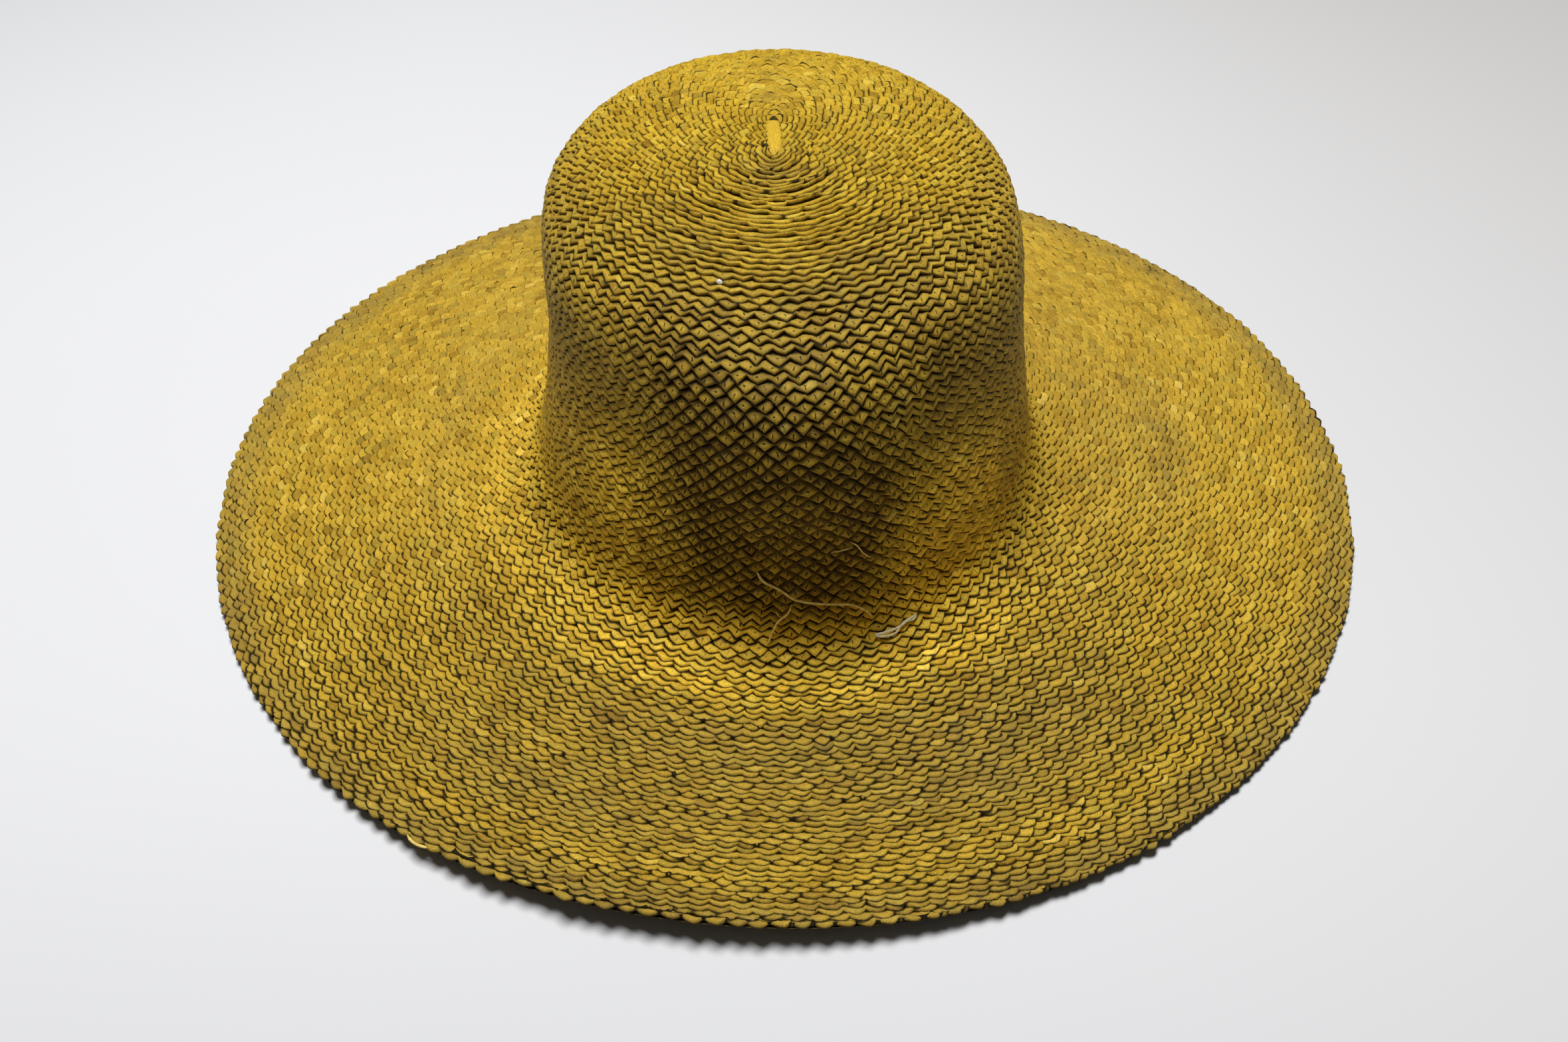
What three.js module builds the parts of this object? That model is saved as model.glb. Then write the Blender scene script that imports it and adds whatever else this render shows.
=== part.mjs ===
// Wide-brimmed straw hat, sewn from one leaf plait that winds out from a short stub on the tip.
// Millimetres, +Z up, front of the hat towards -Y, standing on its brim at z = 0.
import * as THREE from 'three';

// Driving sizes
const WALL = 2.4;            // sewn straw, two layers of plait where the rounds overlap
const SEAM = 0.34;           // gap between neighbouring pieces
const COLUMNS = 72;          // facets round the hat
const TIP_ROWS = 11;         // facets from the centre of the tip to its shoulder
const TIP_LINING_ROWS = 9;   // the same, on the hollow side
const SIDE_ROWS = 15;        // facets from the shoulder to the foot of the crown
const SIDE_LINING_ROWS = 13; // the same, on the hollow side
const BRIM_ROWS = 12;        // facets from the foot of the crown to the edge
const TIP_START = 1.6;       // first section, this far along the profile
const SHOULDER_ROW = 7;      // section where the tip ends and the side wall begins
const FOOT_ROW = 18;         // section where the side wall ends and the brim begins
const FLAT_ROW = 20;         // section from which the brim's own front lift takes over
const SIDE_REACH = 0.15;     // share of the way round that keeps the height of the sides
const LIFT_TURN = 9;         // degrees that the lifted brim front lies round to the left
const LIFT_POWER = 8;        // how narrow the lifted brim front is

// Sections of the upper face, from the tip's centre to the brim edge.
// side, front and back are half sizes; z_* are heights there; shift moves the section
// sideways; waist is how far back its widest line lies.
const SECTION_COLUMNS = ['side', 'front', 'back', 'z_side', 'z_front', 'z_back', 'shift', 'waist'];
const SECTIONS = [
  [0.0, 10.0, 10.0, 116.4, 116.1, 116.7, -2.2, 0.0],
  [8.0, 19.0, 18.0, 116.3, 115.9, 116.9, -2.2, 0.0],
  [20.0, 32.0, 31.0, 115.9, 115.5, 117.0, -2.0, 0.0],
  [32.0, 45.0, 43.0, 115.2, 115.1, 116.7, -1.8, 0.0],
  [43.0, 58.0, 55.5, 114.1, 114.4, 115.8, -1.6, 0.0],
  [53.2, 70.0, 66.5, 112.3, 113.1, 114.2, -1.9, 0.0],
  [61.2, 81.0, 76.0, 109.3, 110.4, 111.2, -1.7, 0.0],
  [66.8, 90.5, 83.5, 105.1, 106.4, 106.8, -1.4, 0.0],
  [70.2, 98.6, 89.0, 99.7, 101.2, 101.0, -0.8, 0.0],
  [71.8, 104.6, 92.6, 93.2, 94.4, 94.0, -0.2, 0.0],
  [72.6, 108.2, 95.2, 85.6, 86.0, 86.0, 0.4, 0.0],
  [73.0, 109.8, 97.2, 76.8, 77.0, 76.8, 0.8, 0.0],
  [73.8, 109.8, 98.8, 66.6, 66.6, 66.6, 1.0, 0.0],
  [75.2, 108.8, 100.0, 55.6, 55.6, 55.6, 1.0, 0.0],
  [77.0, 107.6, 101.0, 44.0, 44.0, 44.0, 1.0, 0.0],
  [78.8, 106.8, 102.0, 33.0, 33.0, 33.0, 0.8, 0.0],
  [80.6, 106.6, 103.2, 23.6, 23.6, 23.6, 0.6, 0.0],
  [82.8, 107.8, 105.0, 16.4, 16.4, 16.4, 0.4, 0.0],
  [86.2, 111.0, 108.4, 11.6, 11.6, 11.6, 0.2, 0.0],
  [91.4, 116.2, 113.8, 9.2, 9.4, 9.2, 0.0, 0.0],
  [100.0, 124.6, 122.4, 7.6, 8.2, 7.6, 0.0, 1.0],
  [114.0, 137.0, 135.2, 5.6, 6.8, 5.6, 0.0, 2.0],
  [127.0, 147.6, 146.4, 3.8, 5.8, 3.8, 0.0, 3.0],
  [139.0, 157.2, 156.6, 2.4, 5.6, 2.4, 0.0, 4.0],
  [156.0, 171.0, 170.6, 2.4, 6.2, 2.4, 0.0, 5.0],
  [174.0, 185.4, 185.2, 2.4, 7.4, 2.4, 0.0, 6.0],
  [190.0, 198.0, 198.0, 2.4, 8.6, 2.4, 0.0, 6.4],
];

// Hollows in the crown wall: where (degrees round, height), how deep, and how far they reach.
const HOLLOWS = [
  { name: 'left of the front', angle: -122, z: 76, depth: 4.2, reach_angle: 36, reach_z: 40 },
  { name: 'right of the front', angle: -56, z: 78, depth: 3.6, reach_angle: 34, reach_z: 42 },
  { name: 'below the brow', angle: -90, z: 40, depth: 2.2, reach_angle: 44, reach_z: 30 },
];

// Swells of the brim: where (degrees round, half size of the section), and how high.
const SWELLS = [
  { name: 'right side, inside the crease', angle: 8, side: 120, rise: 1.6, reach_angle: 40, reach_side: 19 },
  { name: 'left of the front', angle: -128, side: 150, rise: 1.2, reach_angle: 30, reach_side: 30 },
];

// Stub that starts the plait, lying on the tip
const STUB_LENGTH = 20;
const STUB_WIDTH = 5.2;
const STUB_THICK = 0.9;
const STUB_TURN = 2;         // degrees off the front-to-back line
const STUB_STEPS = 10;

const rad = (deg) => (deg * Math.PI) / 180;
const clamp01 = (t) => Math.min(1, Math.max(0, t));
const smooth = (t) => clamp01(t) ** 2 * (3 - 2 * clamp01(t));
const hump = (t) => (Math.abs(t) < 1 ? (1 - t * t) ** 2 : 0);
const turnFrom = (deg, centre) => ((((deg - centre) % 360) + 540) % 360) - 180;
const column = (name) => SECTIONS.map((row) => row[SECTION_COLUMNS.indexOf(name)]);

// Distance along the side profile at each section
const ARC = [0];
for (let k = 1; k < SECTIONS.length; k += 1) {
  const [side, z] = [column('side'), column('z_side')];
  ARC.push(ARC[k - 1] + Math.hypot(side[k] - side[k - 1], z[k] - z[k - 1]));
}

// Smooth curve through one column that never swings past its own values
function curveThrough(values) {
  const n = values.length;
  const step = (k) => ARC[k + 1] - ARC[k];
  const slope = (k) => (values[k + 1] - values[k]) / step(k);
  const tangent = values.map((_, k) => {
    if (k === 0) return slope(0);
    if (k === n - 1) return slope(n - 2);
    const [a, b] = [slope(k - 1), slope(k)];
    if (a * b <= 0) return 0;
    const [wa, wb] = [2 * step(k) + step(k - 1), step(k) + 2 * step(k - 1)];
    return (wa + wb) / (wa / a + wb / b);
  });
  return (u) => {
    let k = 0;
    while (k < n - 2 && u > ARC[k + 1]) k += 1;
    const h = step(k);
    const t = (u - ARC[k]) / h;
    const [t2, t3] = [t * t, t * t * t];
    return (2 * t3 - 3 * t2 + 1) * values[k] + (t3 - 2 * t2 + t) * h * tangent[k]
      + (3 * t2 - 2 * t3) * values[k + 1] + (t3 - t2) * h * tangent[k + 1];
  };
}
const along = Object.fromEntries(SECTION_COLUMNS.map((name) => [name, curveThrough(column(name))]));

// Point of the upper face: u along the profile, deg round the hat (0 right, -90 front)
function upperFace(u, deg) {
  const [c, s] = [Math.cos(rad(deg)), Math.sin(rad(deg))];
  const at = Object.fromEntries(SECTION_COLUMNS.map((name) => [name, along[name](u)]));
  const toBrim = smooth((u - ARC[FOOT_ROW]) / (ARC[FLAT_ROW] - ARC[FOOT_ROW]));
  const crownFront = smooth((-s - SIDE_REACH) / (1 - SIDE_REACH));
  const brimFront = Math.max(0, -Math.sin(rad(deg + LIFT_TURN))) ** LIFT_POWER;
  const front = crownFront + (brimFront - crownFront) * toBrim;
  const back = smooth((s - SIDE_REACH) / (1 - SIDE_REACH));
  let z = at.z_side + (at.z_front - at.z_side) * front + (at.z_back - at.z_side) * back;
  for (const w of SWELLS) {
    z += w.rise * hump(turnFrom(deg, w.angle) / w.reach_angle) * hump((at.side - w.side) / w.reach_side);
  }
  let inward = 0;
  for (const d of HOLLOWS) {
    inward += d.depth * hump(turnFrom(deg, d.angle) / d.reach_angle) * hump((z - d.z) / d.reach_z);
  }
  const reach = s < 0 ? at.front + at.waist : at.back - at.waist;
  return new THREE.Vector3(at.shift + at.side * c - inward * c, at.waist + reach * s - inward * s, z);
}

// Outward normal of the upper face
function upperNormal(u, deg) {
  const [du, dd] = [0.4, 0.5];
  const last = ARC[ARC.length - 1];
  const uRun = upperFace(Math.min(last, u + du), deg).sub(upperFace(Math.max(0.4, u - du), deg));
  const round = upperFace(u, deg + dd).sub(upperFace(u, deg - dd));
  return uRun.cross(round).normalize();
}
const underFace = (u, deg) => upperFace(u, deg).addScaledVector(upperNormal(u, deg), -WALL);

// Closed body from a list of rings; a ring of one point closes an end
function bodyFromRings(rings) {
  const positions = [];
  const starts = [];
  for (const ring of rings) {
    starts.push(positions.length / 3);
    for (const p of ring) positions.push(p.x, p.y, p.z);
  }
  const index = [];
  for (let k = 0; k < rings.length - 1; k += 1) {
    const [a, b] = [rings[k].length, rings[k + 1].length];
    const n = Math.max(a, b);
    for (let i = 0; i < n; i += 1) {
      const j = (i + 1) % n;
      const [p, q] = [starts[k] + (a > 1 ? i : 0), starts[k] + (a > 1 ? j : 0)];
      const [r, s] = [starts[k + 1] + (b > 1 ? i : 0), starts[k + 1] + (b > 1 ? j : 0)];
      if (b > 1) index.push(p, r, s);
      if (a > 1) index.push(p, s, q);
    }
  }
  const geometry = new THREE.BufferGeometry();
  geometry.setAttribute('position', new THREE.Float32BufferAttribute(positions, 3));
  geometry.setIndex(index);
  return geometry;
}

const ringOf = (face, u) => Array.from({ length: COLUMNS }, (_, i) => face(u, (360 * i) / COLUMNS));
const stepsBetween = (from, to, count) => (
  Array.from({ length: count + 1 }, (_, k) => from + ((to - from) * k) / count));
const middleOf = (ring) => ring.reduce((sum, p) => sum.add(p), new THREE.Vector3())
  .multiplyScalar(1 / ring.length);

function tipGeometry() {
  const shoulder = ARC[SHOULDER_ROW] - SEAM / 2;
  const outside = stepsBetween(TIP_START, shoulder, TIP_ROWS).map((u) => ringOf(upperFace, u));
  const inside = stepsBetween(shoulder, TIP_START + WALL, TIP_LINING_ROWS).map((u) => ringOf(underFace, u));
  return bodyFromRings([
    [middleOf(outside[0])], ...outside, ...inside, [middleOf(inside[inside.length - 1])],
  ]);
}

function sideGeometry() {
  const shoulder = ARC[SHOULDER_ROW] + SEAM / 2;
  const foot = ARC[FOOT_ROW] - SEAM / 2;
  const outside = stepsBetween(shoulder, foot, SIDE_ROWS).map((u) => ringOf(upperFace, u));
  const inside = stepsBetween(foot, shoulder, SIDE_LINING_ROWS).map((u) => ringOf(underFace, u));
  return bodyFromRings([...outside, ...inside, outside[0]]);
}

function brimGeometry() {
  const foot = ARC[FOOT_ROW] + SEAM / 2;
  const edge = ARC[ARC.length - 1];
  const top = stepsBetween(foot, edge, BRIM_ROWS).map((u) => ringOf(upperFace, u));
  const flatDown = (u, deg) => {
    const [p, q] = [upperFace(u, deg), underFace(u, deg)];
    return u < edge ? q : new THREE.Vector3(p.x, p.y, p.z - WALL);
  };
  const bottom = stepsBetween(edge, foot, BRIM_ROWS).map((u) => ringOf(flatDown, u));
  return bodyFromRings([...top, ...bottom, top[0]]);
}

function stubGeometry() {
  const shift = along.shift(0);
  const tipHeight = (y) => {
    const deg = y < 0 ? -90 : 90;
    const reach = (u) => Math.abs(upperFace(u, deg).y);
    let u = TIP_START;
    while (reach(u) < Math.abs(y) && u < ARC[2]) u += 0.1;
    return upperFace(u, deg).z;
  };
  const crossSection = (t) => {
    const y = STUB_LENGTH * (t - 0.5);
    const half = (STUB_WIDTH / 2) * (0.82 + 0.18 * Math.sin(Math.PI * t));
    const base = Math.max(tipHeight(y), along.z_side(0)) + SEAM;
    const corner = (x, up) => new THREE.Vector3(
      shift + x * Math.cos(rad(STUB_TURN)) - y * Math.sin(rad(STUB_TURN)),
      x * Math.sin(rad(STUB_TURN)) + y * Math.cos(rad(STUB_TURN)), base + up);
    return [corner(-half, 0), corner(half, 0), corner(half * 0.8, STUB_THICK), corner(-half * 0.8, STUB_THICK)];
  };
  const sections = stepsBetween(0, 1, STUB_STEPS).map(crossSection);
  return bodyFromRings([
    [middleOf(sections[0])], ...sections, [middleOf(sections[STUB_STEPS])],
  ]);
}

function weld(geometry) {
  const seen = new Map();
  const source = geometry.getAttribute('position');
  const remap = [];
  const kept = [];
  for (let i = 0; i < source.count; i += 1) {
    const p = [source.getX(i), source.getY(i), source.getZ(i)];
    const key = p.map((v) => v.toFixed(4)).join(',');
    if (!seen.has(key)) {
      seen.set(key, kept.length / 3);
      kept.push(...p);
    }
    remap.push(seen.get(key));
  }
  const index = Array.from(geometry.getIndex().array, (i) => remap[i]);
  const welded = new THREE.BufferGeometry();
  welded.setAttribute('position', new THREE.Float32BufferAttribute(kept, 3));
  welded.setIndex(index);
  welded.computeVertexNormals();
  return welded;
}

function piece(name, geometry, colour) {
  const material = new THREE.MeshStandardMaterial({ color: colour, roughness: 0.85, metalness: 0 });
  material.name = `${name}_straw`;
  const mesh = new THREE.Mesh(weld(geometry), material);
  mesh.name = name;
  return mesh;
}

const group = new THREE.Group();
group.name = 'straw_hat';
group.add(
  piece('crown_tip', tipGeometry(), 0xb08c3c),
  piece('crown_side', sideGeometry(), 0xa88436),
  piece('brim', brimGeometry(), 0xb38e3a),
  piece('plait_start', stubGeometry(), 0xc2a04c),
);

export default group;
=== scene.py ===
import math

import bpy
import numpy as np
from mathutils import Matrix, Vector


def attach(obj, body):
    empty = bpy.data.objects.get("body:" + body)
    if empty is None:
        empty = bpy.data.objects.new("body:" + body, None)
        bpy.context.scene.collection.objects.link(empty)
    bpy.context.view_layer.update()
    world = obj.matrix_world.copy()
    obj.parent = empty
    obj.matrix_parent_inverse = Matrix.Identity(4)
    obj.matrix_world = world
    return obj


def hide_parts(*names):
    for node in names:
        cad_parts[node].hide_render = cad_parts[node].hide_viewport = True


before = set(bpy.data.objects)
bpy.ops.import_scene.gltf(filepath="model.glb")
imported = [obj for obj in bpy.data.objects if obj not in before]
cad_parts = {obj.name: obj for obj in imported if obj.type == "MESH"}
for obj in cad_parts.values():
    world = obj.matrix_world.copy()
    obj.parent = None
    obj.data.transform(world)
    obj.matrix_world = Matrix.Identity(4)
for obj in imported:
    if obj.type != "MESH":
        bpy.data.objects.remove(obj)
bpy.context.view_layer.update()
rng = np.random.default_rng(20)
MM = 0.001

# Shape of the hat, in millimetres
WALL = 2.4
# Rows of SECTIONS where the tip ends, where the crown ends and where the brim lies flat
SHOULDER_ROW, FOOT_ROW, FLAT_ROW = 7, 18, 20
# Where the front and back begin round the hat, and the turn and sharpness of the brim's lift at the front
SIDE_REACH, LIFT_TURN, LIFT_POWER = 0.15, 9.0, 8
SECTION_COLUMNS = ("side", "front", "back", "z_side", "z_front", "z_back", "shift", "waist")
SECTIONS = np.array([
    (0.0, 10.0, 10.0, 116.4, 116.1, 116.7, -2.2, 0.0),
    (8.0, 19.0, 18.0, 116.3, 115.9, 116.9, -2.2, 0.0),
    (20.0, 32.0, 31.0, 115.9, 115.5, 117.0, -2.0, 0.0),
    (32.0, 45.0, 43.0, 115.2, 115.1, 116.7, -1.8, 0.0),
    (43.0, 58.0, 55.5, 114.1, 114.4, 115.8, -1.6, 0.0),
    (53.2, 70.0, 66.5, 112.3, 113.1, 114.2, -1.9, 0.0),
    (61.2, 81.0, 76.0, 109.3, 110.4, 111.2, -1.7, 0.0),
    (66.8, 90.5, 83.5, 105.1, 106.4, 106.8, -1.4, 0.0),
    (70.2, 98.6, 89.0, 99.7, 101.2, 101.0, -0.8, 0.0),
    (71.8, 104.6, 92.6, 93.2, 94.4, 94.0, -0.2, 0.0),
    (72.6, 108.2, 95.2, 85.6, 86.0, 86.0, 0.4, 0.0),
    (73.0, 109.8, 97.2, 76.8, 77.0, 76.8, 0.8, 0.0),
    (73.8, 109.8, 98.8, 66.6, 66.6, 66.6, 1.0, 0.0),
    (75.2, 108.8, 100.0, 55.6, 55.6, 55.6, 1.0, 0.0),
    (77.0, 107.6, 101.0, 44.0, 44.0, 44.0, 1.0, 0.0),
    (78.8, 106.8, 102.0, 33.0, 33.0, 33.0, 0.8, 0.0),
    (80.6, 106.6, 103.2, 23.6, 23.6, 23.6, 0.6, 0.0),
    (82.8, 107.8, 105.0, 16.4, 16.4, 16.4, 0.4, 0.0),
    (86.2, 111.0, 108.4, 11.6, 11.6, 11.6, 0.2, 0.0),
    (91.4, 116.2, 113.8, 9.2, 9.4, 9.2, 0.0, 0.0),
    (100.0, 124.6, 122.4, 7.6, 8.2, 7.6, 0.0, 1.0),
    (114.0, 137.0, 135.2, 5.6, 6.8, 5.6, 0.0, 2.0),
    (127.0, 147.6, 146.4, 3.8, 5.8, 3.8, 0.0, 3.0),
    (139.0, 157.2, 156.6, 2.4, 5.6, 2.4, 0.0, 4.0),
    (156.0, 171.0, 170.6, 2.4, 6.2, 2.4, 0.0, 5.0),
    (174.0, 185.4, 185.2, 2.4, 7.4, 2.4, 0.0, 6.0),
    (190.0, 198.0, 198.0, 2.4, 8.6, 2.4, 0.0, 6.4),
])
# Hollows of the crown wall (degrees, height, depth, reach round, reach up and down)
HOLLOWS = ((-122, 76, 4.2, 36, 40), (-56, 78, 3.6, 34, 42), (-90, 40, 2.2, 44, 30))
# Swells of the brim (degrees, half width there, rise, reach round, reach across)
SWELLS = ((8, 120, 1.6, 40, 19), (-128, 150, 1.2, 30, 30))

# Length along the side profile, from the middle of the tip to each section
ARC = np.concatenate([[0.0], np.cumsum(np.hypot(np.diff(SECTIONS[:, 0]), np.diff(SECTIONS[:, 3])))])
TIP_MIDDLE = dict(zip(SECTION_COLUMNS, SECTIONS[0]))


def smooth(t):
    t = np.clip(t, 0.0, 1.0)
    return t * t * (3.0 - 2.0 * t)


def blend_in(value, start, end):
    """0 up to start, 1 from end on, smooth between; start may be the larger one."""
    return smooth((value - start) / (end - start))


def hump(t):
    return np.where(np.abs(t) < 1.0, (1.0 - t * t) ** 2, 0.0)


def turn_from(deg, centre):
    return (deg - centre + 180.0) % 360.0 - 180.0


def to_front(deg):
    """1 at the hat's front, 0 at its sides, -1 at its back."""
    return -np.sin(np.radians(deg))


def curve_through(values, at):
    """Smooth curve through one column of SECTIONS that never swings past its own values."""
    step = np.diff(ARC)
    slope = np.diff(values) / step
    tangent = np.zeros(len(values))
    tangent[0], tangent[-1] = slope[0], slope[-1]
    for k in range(1, len(values) - 1):
        if slope[k - 1] * slope[k] > 0:
            wa, wb = 2 * step[k] + step[k - 1], step[k] + 2 * step[k - 1]
            tangent[k] = (wa + wb) / (wa / slope[k - 1] + wb / slope[k])
    k = np.clip(np.searchsorted(ARC, at) - 1, 0, len(step) - 1)
    t = (at - ARC[k]) / step[k]
    return ((2 * t**3 - 3 * t**2 + 1) * values[k] + (t**3 - 2 * t**2 + t) * step[k] * tangent[k]
            + (3 * t**2 - 2 * t**3) * values[k + 1] + (t**3 - t**2) * step[k] * tangent[k + 1])


FINE = np.arange(0.0, ARC[-1] + 2.0, 0.05)
ALONG = {name: curve_through(SECTIONS[:, i], FINE) for i, name in enumerate(SECTION_COLUMNS)}


def upper_face(u, deg):
    """Points of the hat's upper face: u along the side profile, deg round the hat (0 right, -90 front)."""
    c, s = np.cos(np.radians(deg)), np.sin(np.radians(deg))
    at = {name: np.interp(u, FINE, values) for name, values in ALONG.items()}
    to_brim = blend_in(u, ARC[FOOT_ROW], ARC[FLAT_ROW])
    crown_front = blend_in(-s, SIDE_REACH, 1.0)
    brim_front = np.maximum(0.0, to_front(deg + LIFT_TURN)) ** LIFT_POWER
    front = crown_front + (brim_front - crown_front) * to_brim
    back = blend_in(s, SIDE_REACH, 1.0)
    z = at["z_side"] + (at["z_front"] - at["z_side"]) * front + (at["z_back"] - at["z_side"]) * back
    for angle, side, rise, reach_angle, reach_side in SWELLS:
        z = z + rise * hump(turn_from(deg, angle) / reach_angle) * hump((at["side"] - side) / reach_side)
    inward = 0.0
    for angle, height, depth, reach_angle, reach_z in HOLLOWS:
        inward = inward + depth * hump(turn_from(deg, angle) / reach_angle) * hump((z - height) / reach_z)
    reach = np.where(s < 0, at["front"] + at["waist"], at["back"] - at["waist"])
    return np.stack([at["shift"] + (at["side"] - inward) * c, at["waist"] + (reach - inward) * s, z], -1)


def upper_normal(u, deg):
    near_u, near_deg, least_u = 0.3, 0.4, 0.4
    along = upper_face(u + near_u, deg) - upper_face(np.maximum(u - near_u, least_u), deg)
    n = np.cross(along, upper_face(u, deg + near_deg) - upper_face(u, deg - near_deg))
    return n / np.linalg.norm(n, axis=-1, keepdims=True)


def raised(u, deg, height):
    return upper_face(u, deg) + upper_normal(u, deg) * np.asarray(height)[..., None]


def profile_per_mm(u, deg):
    """Profile length for one millimetre across the rounds there."""
    half = 0.25
    return 2 * half / np.linalg.norm(upper_face(u + half, deg) - upper_face(u - half, deg), axis=-1)


def lengths_along(points):
    return np.concatenate([[0.0], np.cumsum(np.linalg.norm(np.diff(points, axis=0), axis=1))])


# The plait's path
CROWN_ROUNDS = 79            # rounds from the stub to the foot of the crown
BRIM_ROUNDS = 48             # rounds from the foot to the edge
TURNS = CROWN_ROUNDS + BRIM_ROUNDS
TIP_CLOSE = 0.22             # the first rounds lie closer together than the crown's others by this share
INNER_SPREAD = 0.1           # the brim's inner rounds lie wider apart than its outer ones by this share
PITCH = 5.4                  # from one tooth to the next
PATH_START = 2.4
PATH_END = ARC[-1] - 0.35
START_DEG = -96.0
END_DEG = -119.0             # where the plait's end is tucked under
TUCK, TUCK_TURN = 2.4, 60.0  # how far the end is tucked in, and over how many degrees
STEP_DEG = 0.5

# How far the teeth stand out beyond their notches, how pointed they are, and where their tips lie,
# along the profile
REACH_AT = ((0, 1.8), (50, 1.9), (66, 1.95), (150, 1.95), (172, 1.6), (195, 1.4), (240, 1.3), (275, 1.3))
POINTED_AT = ((0, 0.4), (40, 0.6), (66, 1.0), (150, 1.0), (180, 0.4), (205, 0.15))
TIP_AT = ((0, 0.46), (150, 0.48), (190, 0.40), (275, 0.37))

# Places along the profile where the teeth change, from none to all
WALL_TOP, WALL_FOOT = (66.0, 80.0), (170.0, 150.0)
LOCK_TOP, LOCK_FOOT = (76.0, 82.0), (156.0, 150.0)
BRIM_FROM = (165.0, 185.0)
STUB_AWAY = (32.0, 78.0)
PUCKER_AWAY = (26.0, 56.0)
# Places round the hat where they change, as to_front gives them
FRONT_FROM, NOSE_FROM, SIDES_UNTIL = (0.45, 0.9), (0.72, 0.96), (-0.2, 0.7)


def from_pairs(pairs, at):
    return np.interp(at, [p[0] for p in pairs], [p[1] for p in pairs])


def facing_front(deg):
    return blend_in(to_front(deg), *FRONT_FROM)


def round_side(deg):
    """0 on the front, 1 round the sides and back."""
    return 1.0 - blend_in(to_front(deg), *SIDES_UNTIL)


def on_brim(u):
    return blend_in(u, *BRIM_FROM)


def off_nose(u, deg):
    """0 on the front of the crown's side and on the brim, 1 round the sides and back of the crown's side."""
    on_wall = blend_in(u, *WALL_TOP) * blend_in(u, *WALL_FOOT)
    return on_wall * (1.0 - blend_in(to_front(deg), *NOSE_FROM))


def reach_at(u, deg):
    """The teeth lie flatter where the first rounds bend across the front of the tip."""
    near_stub = 1.0 - blend_in(u, *STUB_AWAY)
    flat = (1.0 - 0.5 * facing_front(deg) * near_stub) * (1.0 - 0.3 * off_nose(u, deg))
    return from_pairs(REACH_AT, u) * flat


def pointed_at(u, deg):
    return from_pairs(POINTED_AT, u) * (1.0 - 0.5 * off_nose(u, deg))


GRID_STEP = 2.0
GRID_DEG = np.arange(-180.0, 181.0, GRID_STEP)
ROUND_STEP = 0.5
ROUND_STEPS = np.arange(0.0, TURNS + 0.01, ROUND_STEP)


def rounds_grid():
    """Profile place of each half round, on lines that run from the tip to the edge."""
    line_u = np.append(np.arange(PATH_START, PATH_END + 0.001, 0.25), PATH_END)
    brim_share = np.clip((ROUND_STEPS - CROWN_ROUNDS) / BRIM_ROUNDS, 0.0, 1.0)
    brim_share = brim_share * (1.0 + INNER_SPREAD - INNER_SPREAD * brim_share)
    crown_share = np.clip(ROUND_STEPS / CROWN_ROUNDS, 0.0, 1.0)
    crown_share = crown_share - TIP_CLOSE * crown_share * (1.0 - crown_share) ** 3
    grid = []
    for deg in GRID_DEG:
        far = lengths_along(upper_face(line_u, np.full(len(line_u), deg)))
        foot_far = np.interp(ARC[FOOT_ROW], line_u, far)
        goal = foot_far * crown_share + (far[-1] - foot_far) * brim_share
        grid.append(np.interp(goal, far, line_u))
    return np.array(grid)


U_OF_ROUND = rounds_grid()
END_TURN = (TURNS + 1.0) * 360.0 + START_DEG - END_DEG
path_turn = np.arange(0.0, END_TURN, STEP_DEG)          # degrees wound so far


def path_deg(wound):
    return START_DEG - wound


def path_u(wound):
    """Place of the plait's outer line along the profile; the last round runs out under the one before it."""
    x = (path_deg(wound) + 180.0) % 360.0 / GRID_STEP
    y = np.clip(wound / 360.0, 0.0, TURNS) / ROUND_STEP
    i = np.minimum(x.astype(int), len(GRID_DEG) - 2)
    j = np.minimum(y.astype(int), len(ROUND_STEPS) - 2)
    a, b = x - i, y - j
    tucked = TUCK * blend_in(wound, END_TURN - TUCK_TURN, END_TURN)
    return ((1 - a) * ((1 - b) * U_OF_ROUND[i, j] + b * U_OF_ROUND[i, j + 1])
            + a * ((1 - b) * U_OF_ROUND[i + 1, j] + b * U_OF_ROUND[i + 1, j + 1])) - tucked


path_place = path_u(path_turn)
path_len = lengths_along(upper_face(path_place, path_deg(path_turn)))

# Bounds of the teeth along the path. On the crown's side the teeth of each round point between those of the
# round above, so a round holds a whole number of teeth and a half there.
SIDE_TEETH = 106.5
half_turn = int(180.0 / STEP_DEG)
index = np.arange(len(path_turn))
ahead, behind = np.minimum(index + half_turn, index[-1]), np.maximum(index - half_turn, 0)
round_len = (path_len[ahead] - path_len[behind]) * (2.0 * half_turn / (ahead - behind))
on_side = blend_in(path_place, *LOCK_TOP) * blend_in(path_place, *LOCK_FOOT)
teeth_per_mm = (1.0 - on_side) / PITCH + on_side * SIDE_TEETH / round_len
teeth_so_far = np.concatenate([[0.0], np.cumsum(np.diff(path_len) * teeth_per_mm[1:])])
count = int(teeth_so_far[-1])
bounds = np.interp(np.arange(count + 1), teeth_so_far, path_len)


def uneven_along(lengths, spacing, spread):
    """Smooth unevenness along the plait."""
    nodes = np.arange(0.0, path_len[-1] + 2 * spacing, spacing)
    return np.interp(lengths, nodes, rng.normal(0, spread, len(nodes)))


bound_turn = np.interp(bounds, path_len, path_turn)
loose = 0.45 + 1.6 * off_nose(path_u(bound_turn), path_deg(bound_turn))
bounds += uneven_along(bounds, 34.0, 1.0) * loose + rng.normal(0, 0.25, count + 1)
bounds[0] = 0.0
bounds = np.maximum.accumulate(bounds)
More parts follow.
